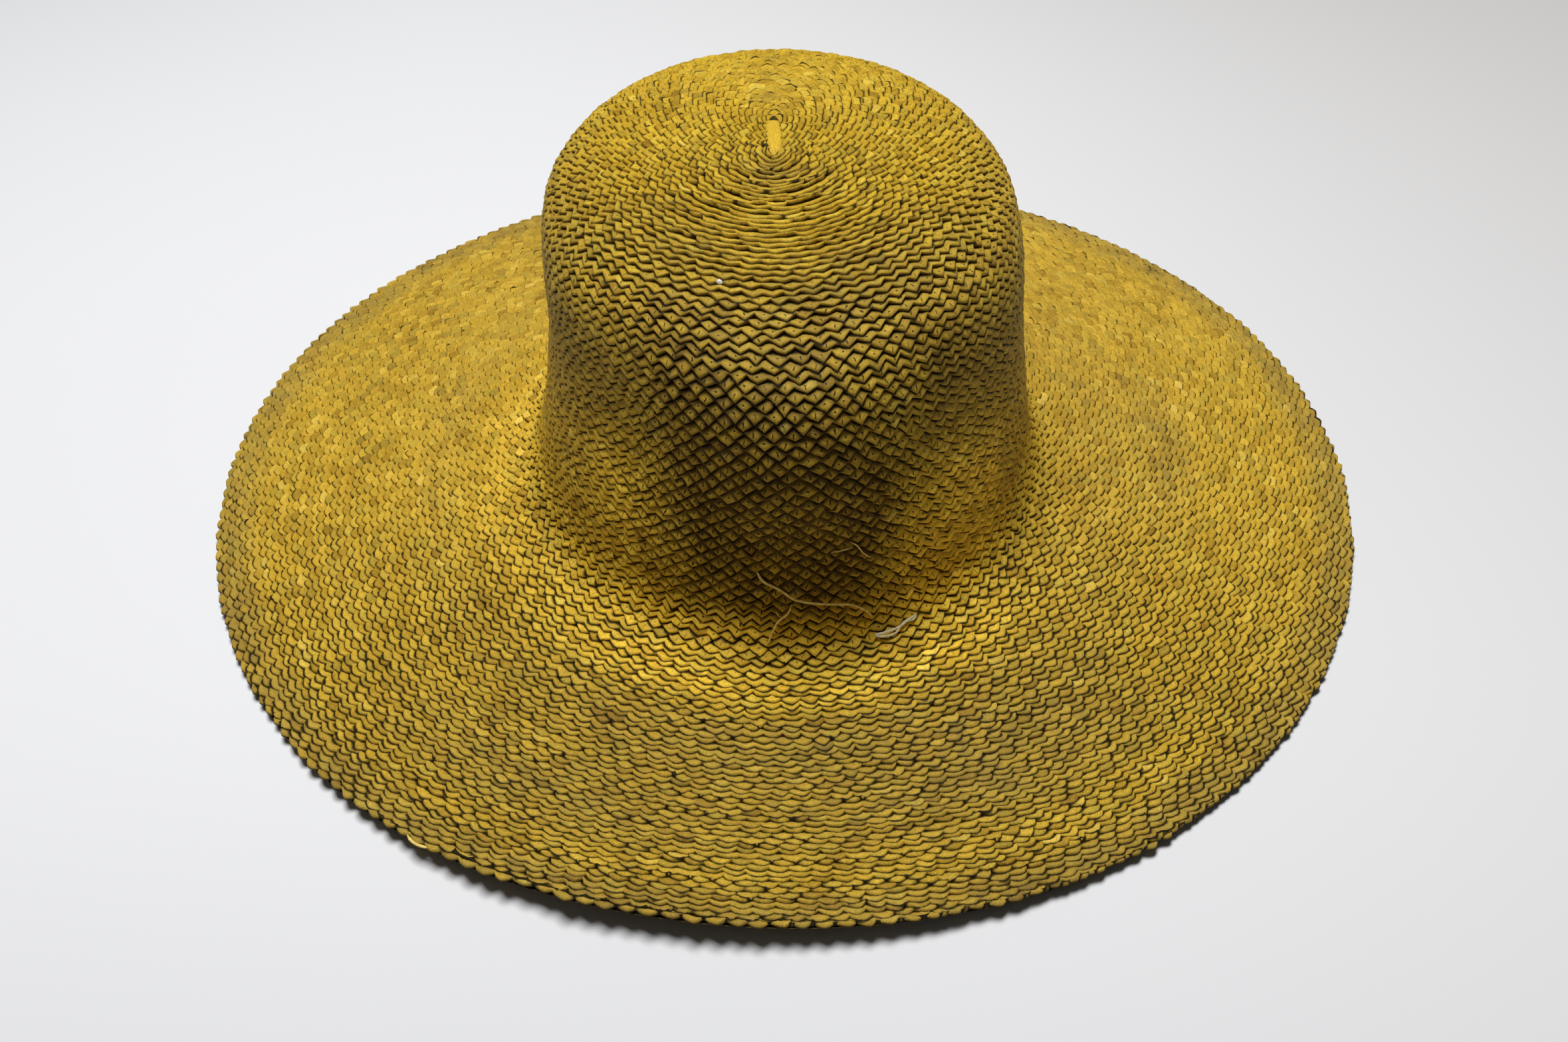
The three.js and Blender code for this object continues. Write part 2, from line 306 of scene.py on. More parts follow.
# The rows sway a little, most in the puckered rounds at the front of the tip
pucker = facing_front(path_deg(path_turn)) * (1.0 - blend_in(path_place, *PUCKER_AWAY))
path_sway = uneven_along(path_len, 9.0, 0.18) + uneven_along(path_len, 3.2, 0.1) * (1.0 + 3.6 * pucker)
tooth_reach = np.exp(rng.normal(0, 0.2, count + 1))
tooth_skew = rng.normal(0.0, 0.035, count + 1)
tooth_lift = rng.normal(0, 0.09, count + 1)
tooth_tilt = rng.normal(0, 0.11, count + 1)
tooth_jog = rng.normal(0, 0.1, count + 1)


def tooth_shape(f, pointed, tip):
    """Outline of a tooth from notch (0) to tip (1): a point on the crown, a lobe on the brim."""
    even = np.where(f < tip, 0.5 * f / tip, 0.5 + 0.5 * (f - tip) / (1.0 - tip))
    point = 1.0 - np.abs(2.0 * even - 1.0)
    lobe = np.sin(np.pi * np.clip(even, 0.0, 1.0)) ** 0.75
    return pointed * np.minimum(point, 0.92 + 0.08 * point) + (1.0 - pointed) * lobe


def tip_share(u, k):
    return from_pairs(TIP_AT, u) + tooth_skew[k]


def edge_at(wound):
    """The plait's outer line there: profile place, tooth, the tooth's reach, how far the edge stands out."""
    length = np.interp(wound, path_turn, path_len)
    k = np.clip(np.searchsorted(bounds, length, side="right") - 1, 0, count - 1)
    f = np.clip((length - bounds[k]) / (bounds[k + 1] - bounds[k]), 0.0, 1.0)
    u = path_u(wound)
    reach = reach_at(u, path_deg(wound)) * tooth_reach[k]
    stand = reach * (tooth_shape(f, pointed_at(u, path_deg(wound)), tip_share(u, k)) - 0.5)
    jog = tooth_jog[k] * (1.0 + 3.4 * np.interp(wound, path_turn, pucker))
    return u, k, reach, stand + jog + np.interp(wound, path_turn, path_sway)


# Soiling and wear (profile place, degrees, reach along, reach round, strength)
STAINS = (
    (81, -112, 20, 17, 0.55), (85, -52, 18, 19, 0.5), (110, -94, 42, 36, 1.4), (108, -76, 26, 20, 0.45),
    (136, -90, 34, 33, 1.05), (78, -158, 4, 3, 0.6), (265, 35, 4, 1.6, 0.9),
)
SOILS = (
    (88, -20, 44, 60, 0.4), (88, -160, 44, 60, 0.45), (190, 0, 24, 50, 0.2), (190, 180, 24, 50, 0.2),
    (50, -120, 22, 40, 0.2), (58, -60, 22, 40, 0.25), (72, -90, 28, 46, 0.4), (198, -90, 24, 70, 0.35),
    (212, -2, 14, 26, 0.3), (222, -62, 26, 24, 0.35), (236, -118, 22, 26, 0.3), (226, -90, 30, 50, 0.25),
    (8, -90, 22, 70, 0.4), (215, 90, 70, 130, 0.15),
)
# Paler straw, partly its colour and partly painted light, on the crown's foot at the front, the brim's inner
# left and the crown's lower sides
CLEAN_AND_LIT_PATCHES = (
    (170, -90, 22, 60, 1.5), (176, -168, 26, 60, 0.3), (138, -52, 36, 26, 1.5), (128, -128, 34, 24, 0.6),
)
EDGE_SOIL = 0.45


def patches(table, u, deg):
    total = np.zeros(np.shape(u))
    for at, angle, along, round_, strength in table:
        total = total + strength * hump((u - at) / along) * hump(turn_from(deg, angle) / round_)
    return total


def stain_at(u, deg):
    return np.clip(patches(STAINS, u, deg), 0, 1)


def soil_and_light_at(u, deg):
    """Grime above zero; below zero paler straw, partly its colour and partly painted light."""
    edge = EDGE_SOIL * blend_in(u, ARC[-1] - 17.0, ARC[-1] - 5.0)
    return np.clip(patches(SOILS, u, deg) + edge - patches(CLEAN_AND_LIT_PATCHES, u, deg), -1, 1)


# Mesh building
def mesh_piece(name, points_mm, quads, point_colours=None, face_colours=None, uv_layers=None):
    """Mesh object from arrays; quads is (n, 4), or (n, 3) for triangles."""
    mesh = bpy.data.meshes.new(name)
    n, sides = quads.shape
    mesh.vertices.add(len(points_mm))
    mesh.vertices.foreach_set("co", np.ascontiguousarray(points_mm * MM, np.float32).ravel())
    mesh.loops.add(n * sides)
    mesh.loops.foreach_set("vertex_index", np.ascontiguousarray(quads, np.int32).ravel())
    mesh.polygons.add(n)
    mesh.polygons.foreach_set("loop_start", np.arange(0, n * sides, sides, dtype=np.int32))
    mesh.polygons.foreach_set("use_smooth", np.ones(n, bool))
    for layer, values in (uv_layers or {}).items():
        made = mesh.uv_layers.new(name=layer)
        made.data.foreach_set("uv", np.ascontiguousarray(values, np.float32).ravel())
    for domain, colours in (("POINT", point_colours), ("FACE", face_colours)):
        for layer, values in (colours or {}).items():
            made = mesh.attributes.new(layer, "FLOAT_COLOR", domain)
            made.data.foreach_set("color", np.ascontiguousarray(values, np.float32).ravel())
    mesh.update(calc_edges=True)
    piece = bpy.data.objects.new(name, mesh)
    bpy.context.scene.collection.objects.link(piece)
    return piece


def strip_quads(columns, levels):
    """Quads of a strip whose points are laid out column by column."""
    c, v = np.meshgrid(np.arange(columns - 1), np.arange(levels - 1), indexing="ij")
    a = (c * levels + v).ravel()
    return np.stack([a, a + 1, a + levels + 1, a + levels], 1)


def flat_layout(begin, x, across, total, band_width, spare_teeth):
    """Flat layout of a strip in bands; begin is where a tooth starts, x the place in that tooth."""
    bands = max(1, int(round(math.sqrt(total / band_width))))
    band_len = total / bands
    band = np.minimum(begin // band_len, bands - 1)
    flat_x = 0.004 + (begin - band * band_len + x) / (band_len + spare_teeth * PITCH) * 0.992
    flat_y = (band + 0.05 + 0.9 * across) / bands
    return np.stack([flat_x, flat_y], 1)


# Shares of a tooth whose tip is in its middle
TOOTH_STEPS = np.array([0.0, 0.16, 0.36, 0.5, 0.64, 0.84])
# Levels across a round: hidden start, middle of the face, shoulder, top of the lip, edge
LEVELS = 5
FLAT_LEVELS = np.array([0.0, 0.45, 0.75, 0.92, 1.0])
FACE_SHARE, SHOULDER_SHARE = 0.5, 0.78
LIP = 0.2                                  # width of the lip, and its drop
START_RISE, EDGE_RISE = -1.0, -0.6         # the hidden start and the lip's foot lie inside the wall
OVERLAP = 0.7                              # a round starts this far in under the notches of the round above
FIRST_COVER = PATH_START - 1.0             # what covers the first round ends here
RIDGE, RIDGE_POINTED = 0.18, 0.2           # height of a tooth's ridge, and more for a pointed one
FLANK_DROP = 0.07                          # the far flank lies lower
PROUD, PROUD_POINTED, PROUD_BRIM = 0.34, 0.34, 0.3
SIDE_SHADE_THIN, SIDE_SHADE_THIN_BRIM = 0.8, 2.4               # how much thinner the painted shadow under the round above is round the sides and back
LEAF_SLANT = math.radians(38)
LEAF_SHIFT = (40, 60, 17)                  # spreads the teeth and their two strips over the leaf pattern


def plait_piece(name, first, last):
    """The plait's upper side from tooth first to tooth last."""
    k = np.arange(first, last)
    tip = tip_share(path_u(np.interp(bounds[k], path_len, path_turn)), k)[:, None]
    f = np.where(TOOTH_STEPS < 0.5, 2 * TOOTH_STEPS * tip, tip + (2 * TOOTH_STEPS - 1) * (1 - tip))
    lengths = (bounds[k][:, None] + f * (bounds[k + 1] - bounds[k])[:, None]).ravel()
    lengths = np.append(lengths, bounds[last])
    wound = np.interp(lengths, path_len, path_turn)
    deg = path_deg(wound)
    u, tooth, _, stand = edge_at(wound)
    tooth[:-1] = np.repeat(k, len(TOOTH_STEPS))
    share = np.append(f.ravel(), 1.0)
    per_mm = profile_per_mm(u, deg)

    before = np.maximum(wound - 360.0, 0.0)
    u_before, _, reach_before, stand_before = edge_at(before)
    u_before = np.where(wound < 360.0, FIRST_COVER, u_before)
    cover = u_before + stand_before * per_mm                   # edge of the round above
    start = np.maximum(u_before - (0.5 * reach_before + OVERLAP) * per_mm, 0.5)
    edge = u + stand * per_mm
    run = np.maximum(edge - start, 0.15)

    pointed = pointed_at(u, deg)
    ridge = (RIDGE + RIDGE_POINTED * pointed) * (tooth_shape(share, pointed, tip_share(u, tooth)) - 0.45)
    ridge = ridge + tooth_lift[tooth] + tooth_tilt[tooth] * (2 * share - 1) - FLANK_DROP * (share > 0.55)
    proud = PROUD + PROUD_POINTED * pointed + PROUD_BRIM * on_brim(u) * round_side(deg)
    at = np.stack([start, start + FACE_SHARE * run, start + SHOULDER_SHARE * run,
                   edge - LIP * per_mm, edge], 1)
    rise = np.stack([np.full(len(u), START_RISE), 0.5 * ridge, proud + ridge, proud - LIP + 0.9 * ridge,
                     np.full(len(u), EDGE_RISE)], 1)
    degs = np.repeat(deg[:, None], LEVELS, 1)
    points = raised(at.ravel(), degs.ravel(), rise.ravel())

    # Distances for the material: from the round above, stretched round the sides and back so that the painted
    # shadow there is thinner, and from the edge
    shade_thinning = 1.0 + (SIDE_SHADE_THIN + SIDE_SHADE_THIN_BRIM * on_brim(u)) * round_side(deg)
    gap = (at - cover[:, None]) / per_mm[:, None] * shade_thinning[:, None]
    rim = (edge[:, None] - at) / per_mm[:, None]
    plait = np.stack([gap, rim, soil_and_light_at(at, degs), stain_at(at, degs)], -1).reshape(-1, 4)

    quads = strip_quads(len(u), LEVELS)
    column = np.repeat(np.arange(len(u) - 1), LEVELS - 1)
    tints = rng.random((count + 1, 4))
    tones = np.clip(rng.normal(0.5, 0.15, count + 1), 0.0, 1.0)
    face = np.concatenate([tones[:, None], tints[:, 1:]], 1)[tooth[column]]
    face[:, 3] = pointed[column]

    # Leaf direction: one strip slants down to the right on the near flank, the other on the far flank
    corner = quads.ravel()
    col = corner // LEVELS
    home = np.repeat(column, 4)
    width = bounds[tooth[home] + 1] - bounds[tooth[home]]
    local_f = np.where((share[col] == 0.0) & (col > home), 1.0, share[col])
    x = local_f * width
    y = ((at - u[:, None]) / per_mm[:, None]).ravel()[corner]
    side = np.where(share[home] < 0.45, 1.0, -1.0)
    across = y * math.cos(LEAF_SLANT) - side * x * math.sin(LEAF_SLANT)
    along = x * math.cos(LEAF_SLANT) + side * y * math.sin(LEAF_SLANT)
    shift = tints[tooth[home]]
    leaf = np.stack([across + LEAF_SHIFT[0] * shift[:, 0] + LEAF_SHIFT[2] * side,
                     along + LEAF_SHIFT[1] * shift[:, 1]], 1)
    flat = flat_layout(bounds[tooth[home]] - bounds[first], x, np.tile(FLAT_LEVELS, len(u))[corner],
                       bounds[last] - bounds[first], band_width=5.2, spare_teeth=2)
    return mesh_piece(name, points, quads, {"plait": plait}, {"tooth": face},
                      {"leaf": leaf, "place": np.stack([local_f - 0.5, y], 1), "OFBake": flat})


def tooth_near(rounds):
    """The tooth at which that many rounds are wound."""
    length = np.interp(rounds * 360.0, path_turn, path_len)
    return int(np.clip(np.searchsorted(bounds, length), 0, count))


# Hollow side and underside
UNDER_LEVELS = 3
UNDER_FLAT = [0.0, 0.3, 1.0]
UNDER_IN, UNDER_OUT = 1.7, 1.6             # reach of a round inside and outside its own line, seen from below
UNDER_NOTCH = 1.3
UNDER_START, UNDER_LOW, UNDER_EDGE = 0.95, 0.12, 0.85      # heights over the wall's lower face
UNDER_SOIL = 0.35
UNDER_SLANT = (0.8, 0.6)


def under_piece(name, first, last):
    """The same rounds from below: each round's inner edge lies over the round inside it."""
    k = np.arange(first, last)
    f = np.tile([0.0, 0.5], (len(k), 1))
    lengths = (bounds[k][:, None] + f * (bounds[k + 1] - bounds[k])[:, None]).ravel()
    lengths = np.append(lengths, bounds[last])
    wound = np.interp(lengths, path_len, path_turn)
    deg = path_deg(wound)
    u, tooth, reach, _ = edge_at(wound)
    tooth[:-1] = np.repeat(k, 2)
    share = np.append(f.ravel(), 1.0)
    per_mm = profile_per_mm(u, deg)
    notch = np.where(share == 0.5, 0.5, -0.5) * np.minimum(reach, UNDER_NOTCH)
    inner = np.maximum(u - UNDER_IN - notch * per_mm, 0.8)
    outer = np.maximum(np.minimum(u + UNDER_OUT, PATH_END - 0.6), inner + 0.3)
    at = np.stack([inner + 0.15, inner, outer], 1)
    low = -WALL + UNDER_LOW + UNDER_LOW * np.where(share == 0.5, 0.0, 1.0)
    rise = np.stack([np.full(len(u), -WALL + UNDER_START), low, np.full(len(u), -WALL + UNDER_EDGE)], 1)
    degs = np.repeat(deg[:, None], UNDER_LEVELS, 1)
    points = raised(at.ravel(), degs.ravel(), rise.ravel())
    quads = strip_quads(len(u), UNDER_LEVELS)[:, ::-1]
    column = np.repeat(np.arange(len(u) - 1), UNDER_LEVELS - 1)
    # Painted shadow at both edges of each round seen from below, where the rounds meet
    gap = np.tile([-0.3, 2.0, 0.0], (len(u), 1))
    rim = np.tile([-0.3, 0.0, 2.0], (len(u), 1))
    plait = np.stack([gap, rim, np.full(gap.shape, UNDER_SOIL), np.zeros(gap.shape)], -1).reshape(-1, 4)
    face = rng.random((count + 1, 4))[tooth[column]]
    corner = quads.ravel()
    col, home = corner // UNDER_LEVELS, np.repeat(column, 4)
    x = np.where(col > home, share[home] + 0.5, share[home]) * PITCH
    y = ((at - u[:, None]) / per_mm[:, None]).ravel()[corner]
    side = np.where(share[home] < 0.45, 1.0, -1.0)
    steep, lean = UNDER_SLANT
    leaf = np.stack([y * steep - side * x * lean + LEAF_SHIFT[0] * np.repeat(face[:, 0], 4),
                     x * steep + side * y * lean], 1)
    flat = flat_layout(bounds[tooth[home]] - bounds[first], x, np.tile(UNDER_FLAT, len(u))[corner],
                       bounds[last] - bounds[first], band_width=4.0, spare_teeth=2.5)
    return mesh_piece(name, points, quads, {"plait": plait}, {"tooth": face},
                      {"leaf": leaf, "place": np.stack([x / PITCH - 0.5, y + 9.0], 1), "OFBake": flat})


# Materials
def new_material(name):
    """Empty material with helpers that add nodes to it: make, maths, mix, step and noise."""
    material = bpy.data.materials.new(name)
    material.use_nodes = True
    tree = material.node_tree
    tree.nodes.clear()

    def fill(socket, value):
        if isinstance(value, bpy.types.NodeSocket):
            tree.links.new(value, socket)
        else:
            socket.default_value = value

    def make(kind, inputs=None, **settings):
        node = tree.nodes.new(kind)
        for key, value in settings.items():
            setattr(node, key, value)
        for key, value in (inputs or {}).items():
            fill(node.inputs[key], value)
        return node

    def maths(operation, a, b=None, c=None, clamp=False):
        values = {i: v for i, v in enumerate((a, b, c)) if v is not None}
        return make("ShaderNodeMath", values, operation=operation, use_clamp=clamp).outputs[0]

    def mix(factor, a, b, blend="MIX"):
        node = make("ShaderNodeMix", data_type="RGBA", blend_type=blend)
        fill(node.inputs[0], factor)
        for socket, value in ((node.inputs[6], a), (node.inputs[7], b)):
            fill(socket, (*value, 1.0) if isinstance(value, tuple) else value)
        return node.outputs[2]

    def step(value, low, high, to_low=0.0, to_high=1.0):
        return make("ShaderNodeMapRange", {0: value, 1: low, 2: high, 3: to_low, 4: to_high},
                    interpolation_type="SMOOTHSTEP").outputs[0]

    def noise(vector, scale, detail, roughness=0.5):
        inputs = {"Vector": vector, "Scale": scale, "Detail": detail, "Roughness": roughness}
        return make("ShaderNodeTexNoise", inputs).outputs[0]

    return material, make, maths, mix, step, noise


# Leaf colours, linear, from the brownest strips to the palest
LEAF_TONES = ((0.0, (0.26, 0.145, 0.012)), (0.25, (0.39, 0.235, 0.019)), (0.5, (0.51, 0.32, 0.026)),
              (0.75, (0.60, 0.39, 0.036)), (1.0, (0.68, 0.48, 0.07)))
OLIVE = (0.36, 0.29, 0.045)
SOIL = (0.20, 0.145, 0.045)
# Dark of the painted shadow in the crevices, also used for the real splits and pits
CREVICE_SHADOW_AND_SPLITS = (0.010, 0.007, 0.003)
# Brown of the plait's own edge, partly its colour and partly painted shade where the edge rounds off
RIM = (0.15, 0.072, 0.010)
STAINED = (0.25, 0.225, 0.42)
# Brightening for cleaner straw and for painted light
CLEANED_AND_LIT = (1.9, 1.92, 1.85)
PALE = (0.80, 0.66, 0.25)
FIBRE_STRETCH = (3.4, 0.32, 1.0)


def straw_material(name, bright=1.0, blue=1.0, olive=0.35, crack=1.0, crevice_shade=0.97, shade_width=0.52):
    material, make, maths, mix, step, noise = new_material(name)
    plait = make("ShaderNodeAttribute", attribute_name="plait")
    gap, rim, soil_and_light = make("ShaderNodeSeparateColor", {0: plait.outputs["Color"]}).outputs[:3]
    stain = plait.outputs["Alpha"]
    tooth = make("ShaderNodeAttribute", attribute_name="tooth")
    tone, hue, cracked = make("ShaderNodeSeparateColor", {0: tooth.outputs["Color"]}).outputs[:3]
    pointed = tooth.outputs["Alpha"]
    leaf = make("ShaderNodeUVMap", uv_map="leaf").outputs[0]
    place = make("ShaderNodeUVMap", uv_map="place").outputs[0]
    here = make("ShaderNodeNewGeometry").outputs["Position"]

    def times(a, b, clamp=False):
        return maths("MULTIPLY", a, b, clamp=clamp)

    def swing(value, amount, base, clamp=False):
        """The base moved up and down by noise about its middle."""
        return maths("MULTIPLY_ADD", maths("SUBTRACT", value, 0.5), amount, base, clamp=clamp)

    def shaded(colour, factor):
        grey = make("ShaderNodeCombineColor", {0: factor, 1: factor, 2: factor}).outputs[0]
        return mix(1.0, colour, grey, "MULTIPLY")

    # Fibres run along each leaf strip
    fibre = noise(make("ShaderNodeMapping", {0: leaf, 3: FIBRE_STRETCH}).outputs[0], 1.0, 3.0, 0.6)
    fleck = noise(leaf, 0.9, 2.0)
    speck = noise(leaf, 2.6, 2.0, 0.7)
    broad = noise(here, 38.0, 3.0, 0.6)
    fine = noise(here, 160.0, 2.0)
    uneven = noise(here, 330.0, 2.0)

    ramp = make("ShaderNodeValToRGB", {0: swing(fleck, 0.5, swing(broad, 0.65, tone), clamp=True)})
    points = ramp.color_ramp.elements
    while len(points) < len(LEAF_TONES):
        points.new(0.5)
    for point, (at, (red, green, third)) in zip(points, LEAF_TONES):
        point.position = at
        point.color = (bright * red, bright * green, bright * blue * third, 1.0)
    colour = mix(times(step(hue, 0.45, 1.0), olive), ramp.outputs[0], OLIVE)
    colour = shaded(colour, times(step(fibre, 0.28, 0.72, 0.76, 1.16), step(speck, 0.3, 0.7, 0.78, 1.2)))

    # Paler places, partly painted light, soiled places, and stains that are worn off the tops of the teeth
    clean_and_lit = times(soil_and_light, step(fine, 0.3, 0.7, -0.7, -1.2), clamp=True)
    colour = mix(clean_and_lit, colour, CLEANED_AND_LIT, "MULTIPLY")
    soiled = times(soil_and_light, step(fine, 0.25, 0.75, 0.55, 1.25), clamp=True)
    colour = mix(soiled, colour, SOIL)
    worn = step(gap, 0.5, 2.2, 1.3, 0.45)
    stained = times(times(stain, worn), step(fine, 0.3, 0.7, 0.65, 1.25), clamp=True)
    colour = mix(stained, colour, STAINED, "MULTIPLY")

    # Splits and pits where the two strips of a tooth cross, with pale torn fibres beside them
    f, y, _ = make("ShaderNodeSeparateXYZ", {0: place}).outputs
    lean = times(maths("SUBTRACT", hue, 0.5), 0.2)
    wander = swing(fleck, 0.2, maths("MULTIPLY_ADD", maths("ADD", y, 1.0), lean, f))
    off_line = maths("ABSOLUTE", wander)
    middle = times(step(y, -1.75, -1.3), step(y, -0.55, -0.2, 1.0, 0.0))
    split = times(times(step(off_line, 0.018, 0.05, 1.0, 0.0), middle), step(cracked, 0.3, 0.6, 0.0, crack))
    split = times(split, step(pointed, 0.2, 0.9, 0.2, 0.95))
    from_pit = make("ShaderNodeCombineXYZ", {0: times(wander, 14.0), 1: maths("MULTIPLY_ADD", y, 4.0, 4.6)})
    far = make("ShaderNodeVectorMath", {0: from_pit.outputs[0]}, operation="LENGTH").outputs["Value"]
    pit = times(step(far, 0.6, 1.1, 1.0, 0.0), step(cracked, 0.45, 0.55, crack, 0.0))
    cracks = maths("MAXIMUM", split, times(pit, step(pointed, 0.2, 0.9, 0.1, 0.95)))
    beside = times(step(off_line, 0.05, 0.16, 1.0, 0.0), middle)
    torn = times(times(beside, step(speck, 0.6, 0.68)), step(pointed, 0.2, 0.9, 0.15, 0.7))
    colour = mix(torn, colour, PALE)

    # Painted shade darkens each tooth near the round above, and painted light brightens it away from there
    colour = shaded(colour, step(gap, 0.2, 1.9, maths("MULTIPLY_ADD", pointed, -0.16, 0.96), 1.07))
    # Brown along the plait's own edge, partly the leaf's colour and partly painted shade where the edge
    # rounds off
    rim_width = maths("MULTIPLY_ADD", pointed, 0.35, 0.2)
    rim_depth = maths("MULTIPLY_ADD", pointed, 0.55, 0.15)
    colour = mix(step(rim, 0.05, rim_width, rim_depth, 0.0), colour, RIM)
    # Painted shadow in the crevice under the round above and on each lip's drop face, joined with the splits
    # and pits
    wide = times(maths("MULTIPLY_ADD", pointed, 0.34, shade_width), step(uneven, 0.3, 0.7, 0.3, 1.6))
    under = step(gap, times(wide, 0.25), wide, crevice_shade, 0.0)
    drop = step(rim, 0.03, 0.17, 0.85, 0.0)
    dark = maths("MAXIMUM", maths("MAXIMUM", under, drop), cracks, clamp=True)
    colour = mix(dark, colour, CREVICE_SHADOW_AND_SPLITS)

    height = maths("MULTIPLY_ADD", cracks, -0.6, fibre)
    bump = make("ShaderNodeBump", {"Strength": 0.55, "Distance": 0.00022, "Height": height})
    rough = step(fibre, 0.2, 0.8, 0.62, 0.48)
    rough = maths("MULTIPLY_ADD", maths("MAXIMUM", soiled, stained), 0.2, rough, clamp=True)
    surface = make("ShaderNodeBsdfPrincipled", {
        "Base Color": colour, "Roughness": rough, "Normal": bump.outputs[0], "Specular IOR Level": 0.08})
    make("ShaderNodeOutputMaterial", {0: surface.outputs[0]})
    return material


def finish_piece(piece, material, slot, *nodes):
    piece.data.materials.append(material)
    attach(piece, "root")
    if nodes:
        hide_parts(*nodes)


# The hat's pieces
tip_straw = straw_material("tip_straw", bright=1.0, blue=0.85, olive=0.3, crack=0.6, crevice_shade=0.92)
side_straw = straw_material("side_straw", bright=1.05, blue=0.95, olive=0.2)
brim_straw = straw_material("brim_straw", bright=1.03, blue=1.12, crack=0.7, shade_width=0.68)

shoulder_rounds = np.interp(ARC[SHOULDER_ROW], U_OF_ROUND[len(GRID_DEG) // 2], ROUND_STEPS)
shoulder, foot = tooth_near(shoulder_rounds), tooth_near(CROWN_ROUNDS)
mid_side = (shoulder + foot) // 2
brim_cuts = [foot + (count - foot) * i // 3 for i in range(4)]
finish_piece(plait_piece("tip_plait", 0, shoulder), tip_straw, "tip_straw", "crown_tip")
finish_piece(plait_piece("side_plait_upper", shoulder, mid_side), side_straw, "side_straw", "crown_side")
finish_piece(plait_piece("side_plait_lower", mid_side, foot), side_straw, "side_straw", "crown_side")
for part, (a, b) in zip(("inner", "middle", "outer"), zip(brim_cuts, brim_cuts[1:])):
    finish_piece(plait_piece(f"brim_plait_{part}", a, b), brim_straw, "brim_straw", "brim")
finish_piece(under_piece("tip_hollow_side", 0, shoulder), tip_straw, "tip_straw", "crown_tip")
finish_piece(under_piece("side_hollow_side", shoulder, foot), side_straw, "side_straw", "crown_side")
finish_piece(under_piece("brim_underside", foot, count), brim_straw, "brim_straw", "brim")

# Stub that starts the plait
STUB_LENGTH, STUB_WIDTH, STUB_TURN = 22.0, 6.4, math.radians(2.0)
STUB_RISE, STUB_SINK = 0.55, 0.7           # height of its top over the tip, and depth of its ends
STUB_SLOPE = 0.03
STUB_NOTCH, STUB_NOTCH_APART = 0.7, 2.7
STUB_TOOTH = (0.62, 0.2, 0.0, 0.0)         # tone, hue, no splits, not pointed


def stub_piece(name):
    """Smooth leaf strip with notched sides, domed, let in between the first rounds."""
    rows, columns = 41, 9
    t, v = np.meshgrid(np.linspace(0, 1, rows), np.linspace(-1, 1, columns), indexing="ij")
    y = STUB_LENGTH * (t - 0.5)
    notch = STUB_NOTCH * np.abs(np.sin(math.pi * (y / STUB_NOTCH_APART + 0.3 * np.sign(v))))
    half = STUB_WIDTH / 2 * (0.72 + 0.28 * np.sin(math.pi * t)) - notch
    x = v * half
    ends = smooth(np.minimum(t, 1 - t) * 9.0)
    dome = 1 - 0.2 * v**2 - 0.7 * np.abs(v) ** 8
    z = TIP_MIDDLE["z_side"] + STUB_SLOPE * y - STUB_SINK + (STUB_RISE + STUB_SINK) * ends * dome
    points = np.stack([TIP_MIDDLE["shift"] + x * math.cos(STUB_TURN) - y * math.sin(STUB_TURN),
                       x * math.sin(STUB_TURN) + y * math.cos(STUB_TURN), z], -1).reshape(-1, 3)
    quads = strip_quads(rows, columns)[:, ::-1]
    plait = np.tile([3.0, 3.0, -0.1, 0.0], (rows * columns, 1))
    face = np.tile(STUB_TOOTH, (len(quads), 1))
    corner = quads.ravel()
    leaf = np.stack([x.ravel()[corner] * 1.2, y.ravel()[corner]], 1)
    flat = np.stack([v.ravel()[corner] * 0.12 + 0.5, t.ravel()[corner] * 0.98 + 0.01], 1)
    return mesh_piece(name, points, quads, {"plait": plait}, {"tooth": face},
                      {"leaf": leaf, "place": np.tile([0.5, 9.0], (len(corner), 1)), "OFBake": flat})


# Loose threads and a white speck
def smooth_path(points, spacing=0.5):
    """Catmull-Rom curve through the points."""
    p = np.vstack([2 * points[0] - points[1], points, 2 * points[-1] - points[-2]])
    out = []
    for a, b, c, d in zip(p, p[1:], p[2:], p[3:]):
        steps = max(2, int(np.linalg.norm(c - b) / spacing))
        for t in np.linspace(0, 1, steps, endpoint=False):
            bend = (2 * a - 5 * b + 4 * c - d) * t**2 + (3 * b - a - 3 * c + d) * t**3
            out.append(0.5 * (2 * b + (c - a) * t + bend))
    return np.array(out + [points[-1]])


